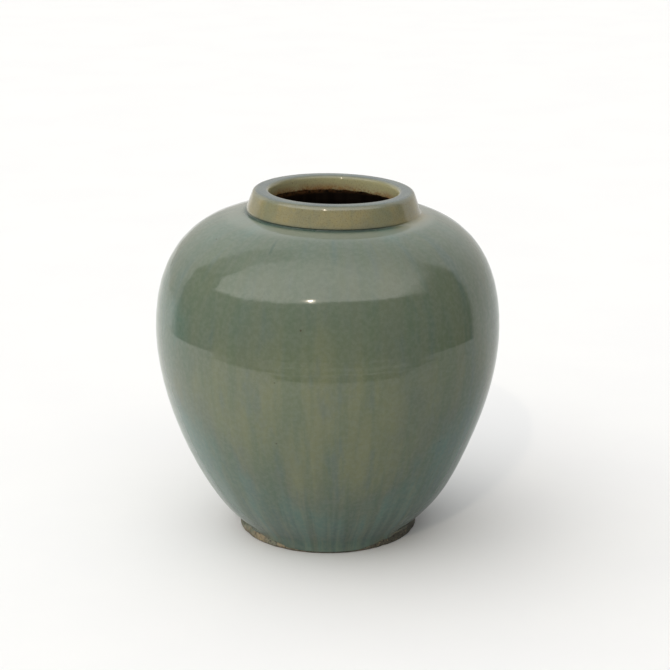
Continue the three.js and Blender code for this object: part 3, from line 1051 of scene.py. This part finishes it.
def slip_material():
    material, n = new_material("fired_slip")
    brushed = n.noise(n.drawn(6.0, 900.0), 1.0, 3.0, 0.6)
    lumps = n.noise(n.point(), 300.0, 4.0, 0.6)
    colour = n.mix(n.remap(brushed, 0.35, 0.65), SLIP_PALE, SLIP_DARK)
    colour = n.over(colour, CLAY_BROWN, n.remap(lumps, 0.5, 0.7, 0.0, 0.5))
    normal = n.bump(lumps, 0.0002)
    roughness = n.remap(lumps, 0.3, 0.7, 0.8, 0.98)
    n.principled({"Base Color": colour, "Roughness": roughness, "IOR": 1.45, "Normal": normal})
    return material


def liner_material():
    material, n = new_material("brown_liner_glaze_and_shade")
    streak = n.noise(n.drawn(14.0, 12.0), 1.0, 4.0, 0.6)
    spots = n.noise(n.point(), 380.0, 4.0, 0.65)
    _, _, z = n.split(n.point())
    near_lip = n.remap(z, 0.2885, 0.2925)
    # Nearly black: dark brown glaze, with painted shade of the hollow.
    colour = n.mix(n.remap(streak, 0.35, 0.65), LINER_SHADED_BLACK, LINER_SHADED_BROWN)
    colour = n.over(colour, LINER_RUST, near_lip, n.remap(spots, 0.35, 0.6), 0.8)
    normal = n.bump(spots, 0.0001)
    roughness = n.remap(streak, 0.3, 0.7, 0.30, 0.5)
    n.principled({"Base Color": colour, "Roughness": roughness, "IOR": 1.25, "Normal": normal})
    return material


# --- Putting the jar together ---


def install(piece, node, material):
    """The piece takes a CAD node's place, rides with the jar and gets its material."""
    piece.data.materials.append(material)
    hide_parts(node)
    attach(piece, "root")


def build_jar():
    clay, slip = clay_material(), slip_material()
    install(celadon_coat(), "celadon_glaze", celadon_material())
    install(liner_coat(), "brown_liner_glaze", liner_material())
    install(foot_ring(), "foot_ring", clay)
    install(base_slab(), "base_slab", clay)
    for node, piece in walls_and_slips().items():
        is_slip = node.endswith("slip")
        install(piece, node, slip if is_slip else clay)


# --- Floor, light and camera ---

FAR_FLOOR = 12.0
FLOOR_SIDES = 180

# The soft light overhead fills the directions above this edge: (azimuth, elevation).
SKY_EDGE = (
    (-180, 56), (-160, 64), (-148, 68), (-135, 72), (-120, 76), (-97, 71), (-91, 24), (-62, 27),
    (-52, 30), (-28, 32), (-8, 35), (4, 37), (24, 35), (58, 32), (78, 33), (92, 42), (104, 52),
    (120, 52), (134, 8), (180, 8),
)
DARK_LEFT, DARK_RIGHT = -119.0, 112.0  # the dark side of the room, behind the camera
LINES_IN_ROOM = ((-13.2, 0.45), (-17.0, 0.6))  # (elevation, strength)
BACKDROP = (0.955, 0.955, 0.955)

# The colours of the surroundings that the glaze mirrors. Pairs are (right, left).
SKY_AHEAD = ((2.20, 2.18, 2.08), (2.50, 2.44, 2.30))
SKY_BEHIND = ((0.96, 0.99, 1.03), (1.06, 1.12, 1.16))
LOW_BACK = ((0.72, 0.70, 0.68), (0.61, 0.58, 0.55))
DARK_ROOM, ROOM_LINE = (0.045, 0.048, 0.040), (1.7, 1.7, 1.6)
GLOW, GLOW_RADIUS = (12.0, 10.0, 7.8), math.radians(5)

# How far the near floor reaches, in metres, round the jar: (azimuth, distance).
FLOOR_REACH = (
    (-180, 9), (-122, 9), (-119, 0.96), (-90, 0.93), (-60, 0.88), (-45, 0.80), (-34, 0.74),
    (-29, 0.62), (0, 0.605), (46, 0.61), (52, 0.72), (60, 0.82), (90, 1.00), (112, 1.06),
    (115, 9), (180, 9),
)

FLOOR_PALE = ((0.86, 0.86, 0.86), (0.875, 0.875, 0.87))
# How much light the floor gives back to the jar.
FLOOR_BOUNCE_LEFT = (0.88, 0.88, 0.86)
FLOOR_BOUNCE_RIGHT = (0.46, 0.47, 0.47)


def floor_material():
    material, n = new_material("pale_floor")
    grain = n.noise(n.point(), 6.0, 3.0)
    colour = n.mix(n.remap(grain, 0.3, 0.7), *FLOOR_PALE)
    # What the jar gets back from the floor is dimmer on the right and far behind it.
    x, y, _ = n.split(n.point())
    ahead = n.remap(y, -0.05, 0.45, 1.0, 0.5)
    right = n.product(n.remap(x, -0.45, 0.35), ahead)
    dim = n.mix(right, FLOOR_BOUNCE_LEFT, FLOOR_BOUNCE_RIGHT)
    dim = n.mix(n.remap(y, 0.4, 2.0, 0.0, 0.3), dim, FLOOR_BOUNCE_RIGHT)
    seen = n.add("ShaderNodeLightPath").outputs["Is Camera Ray"]
    colour = n.mix(seen, dim, colour)
    n.principled({"Base Color": colour, "Roughness": 0.9, "Specular IOR Level": 0.1})
    return material


def flat_ring(name, inside, outside):
    """A flat floor sheet at the height of the jar's foot, between two outlines (or a full one)."""
    count = len(outside)
    points = [(x, y, 0) for x, y in (*outside, *(inside or [(0, 0)]))]
    following = [(i + 1) % count for i in range(count)]
    if inside:
        faces = [(i, j, count + j, count + i) for i, j in enumerate(following)]
    else:
        faces = [(i, j, count) for i, j in enumerate(following)]
    mesh = bpy.data.meshes.new(name)
    mesh.from_pydata(points, [], faces)
    made = bpy.data.objects.new(name, mesh)
    bpy.context.scene.collection.objects.link(made)
    return made


def outline_at(distances, turn):
    return [(d * math.cos(a), d * math.sin(a)) for d, a in zip(distances, turn)]


def add_floor():
    """A pale floor. Beyond its near part it isn't mirrored in the glaze, as in a dark room."""
    turn = angles(FLOOR_SIDES)
    near = round_the_jar(FLOOR_REACH, turn)
    material = floor_material()
    floor = flat_ring("floor", None, outline_at(near, turn))
    apron = flat_ring("floor_apron", outline_at(near, turn), outline_at(near + FAR_FLOOR, turn))
    apron.visible_glossy = False
    for sheet in (floor, apron):
        sheet.data.materials.append(material)


def add_world():
    """Soft light overhead, a dark room behind the camera and a pale backdrop behind the jar."""
    world = bpy.data.worlds.new("studio")
    bpy.context.scene.world = world
    world.use_nodes = True
    n = Nodes(world.node_tree)
    direction = n.add("ShaderNodeTexCoord").outputs["Generated"]
    x, y, z = n.split(direction)
    degrees = 180 / math.pi
    elevation = n.product(n.math("ARCSINE", z), degrees)
    azimuth = n.product(n.math("ARCTAN2", x, n.product(y, -1.0)), degrees)
    ragged = n.product(n.sum(n.noise(direction, 11.0, 6.0, 0.65), -0.5), 9.0)
    share = n.remap(azimuth, -180.0, 180.0, smooth=False)
    edge = n.product(n.ramp(share, [((a + 180) / 360, e / 90) for a, e in SKY_EDGE]), 90.0)
    above = n.math("SUBTRACT", n.sum(elevation, ragged), edge)
    blur = n.remap(azimuth, 40.0, 85.0, 2.2, 11.0)
    overhead = n.remap(n.math("DIVIDE", above, blur), -1.0, 1.0)
    slant = n.sum(azimuth, n.product(n.math("MAXIMUM", n.sum(elevation, -45.0), 0.0), 2.0))
    inside_left = n.remap(slant, DARK_LEFT - 2, DARK_LEFT + 2)
    inside_right = n.remap(azimuth, DARK_RIGHT - 3, DARK_RIGHT + 3, 1.0, 0.0)
    dark_side = n.product(inside_left, inside_right)
    left_share = n.remap(x, -0.9, 0.9, 1.0, 0.0, smooth=False)
    zenith = n.remap(elevation, 0.0, 50.0)
    sky_ahead, sky_behind, low_back = (
        n.mix(left_share, *pair) for pair in (SKY_AHEAD, SKY_BEHIND, LOW_BACK))
    sky = n.mix(n.remap(y, -0.5, 0.4), sky_ahead, sky_behind)
    back = n.mix(zenith, low_back, sky)
    room = n.mix(n.remap(elevation, 25.0, 62.0, 0.0, 0.6), DARK_ROOM, sky)
    front = n.mix(overhead, room, sky)

    # Pale thin lines low down in the dark room.
    level = n.sum(elevation, n.product(n.sum(n.noise(direction, 5.0, 3.0), -0.5), 5.0))
    ahead = n.product(n.remap(azimuth, -48.0, -38.0), n.remap(azimuth, 45.0, 75.0, 1.0, 0.0))
    for height, share in LINES_IN_ROOM:
        off = n.math("ABSOLUTE", n.sum(level, -height))
        line = n.product(n.remap(off, 0.25, 0.8, share, 0.0), ahead)
        front = n.mix(line, front, ROOM_LINE)
    mirrored = n.mix(dark_side, back, front)

    # A soft glow round the small lamp.
    to_lamp = n.vector("DOT_PRODUCT", direction, lamp_direction())
    glow = n.math("POWER", n.remap(to_lamp, math.cos(GLOW_RADIUS), 1.0), 3.0)
    mirrored = n.mix(glow, mirrored, GLOW)

    # The light that falls on matt surfaces comes more from the left.
    side = n.remap(x, -1.0, 1.0, 1.95, 0.05, smooth=False)
    soft = n.product(n.remap(elevation, 0.0, 60.0, 0.42, 1.25), side)
    matt = n.mix(1.0, (1.0, 1.0, 1.0), n.join(soft, soft, soft), "MULTIPLY")

    path = n.add("ShaderNodeLightPath")
    light = n.mix(path.outputs["Is Diffuse Ray"], mirrored, matt)
    light = n.mix(path.outputs["Is Camera Ray"], light, BACKDROP)
    background = n.add("ShaderNodeBackground", {"Color": light, "Strength": 1.0})
    n.add("ShaderNodeOutputWorld", {"Surface": background.outputs[0]})


LAMP_ELEVATION, LAMP_AZIMUTH = 38.2, -13.6
LAMP_ENERGY, LAMP_WIDTH, LAMP_COLOUR = 0.25, math.radians(0.53), (1.0, 0.90, 0.76)


def lamp_direction():
    el, az = math.radians(LAMP_ELEVATION), math.radians(LAMP_AZIMUTH)
    return Vector((math.sin(az) * math.cos(el), -math.cos(az) * math.cos(el), math.sin(el)))


def aim(thing, position, target):
    thing.location = position
    thing.rotation_euler = (Vector(target) - Vector(position)).to_track_quat("-Z", "Y").to_euler()


def add_small_lamp():
    data = bpy.data.lights.new("small_lamp", "SUN")
    data.energy, data.angle, data.color = LAMP_ENERGY, LAMP_WIDTH, LAMP_COLOUR
    made = bpy.data.objects.new("small_lamp", data)
    bpy.context.scene.collection.objects.link(made)
    aim(made, lamp_direction() * 3, (0, 0, 0))


CAMERA_LENS = 102.0
CAMERA_PLACE = (0.0063, -1.600, 0.651)
CAMERA_PITCH = -16.6
SENSOR_WIDTH = 36.0
CLIP_START, CLIP_END = 0.05, 60.0


def add_camera():
    data = bpy.data.cameras.new("camera")
    data.lens, data.sensor_width = CAMERA_LENS, SENSOR_WIDTH
    data.clip_start, data.clip_end = CLIP_START, CLIP_END
    camera = bpy.data.objects.new("camera", data)
    bpy.context.scene.collection.objects.link(camera)
    camera.location = CAMERA_PLACE
    camera.rotation_euler = (math.radians(90 + CAMERA_PITCH), 0, 0)
    bpy.context.scene.camera = camera


bpy.context.scene.view_settings.view_transform = "Standard"
add_camera()
build_jar()
add_floor()
add_world()
add_small_lamp()
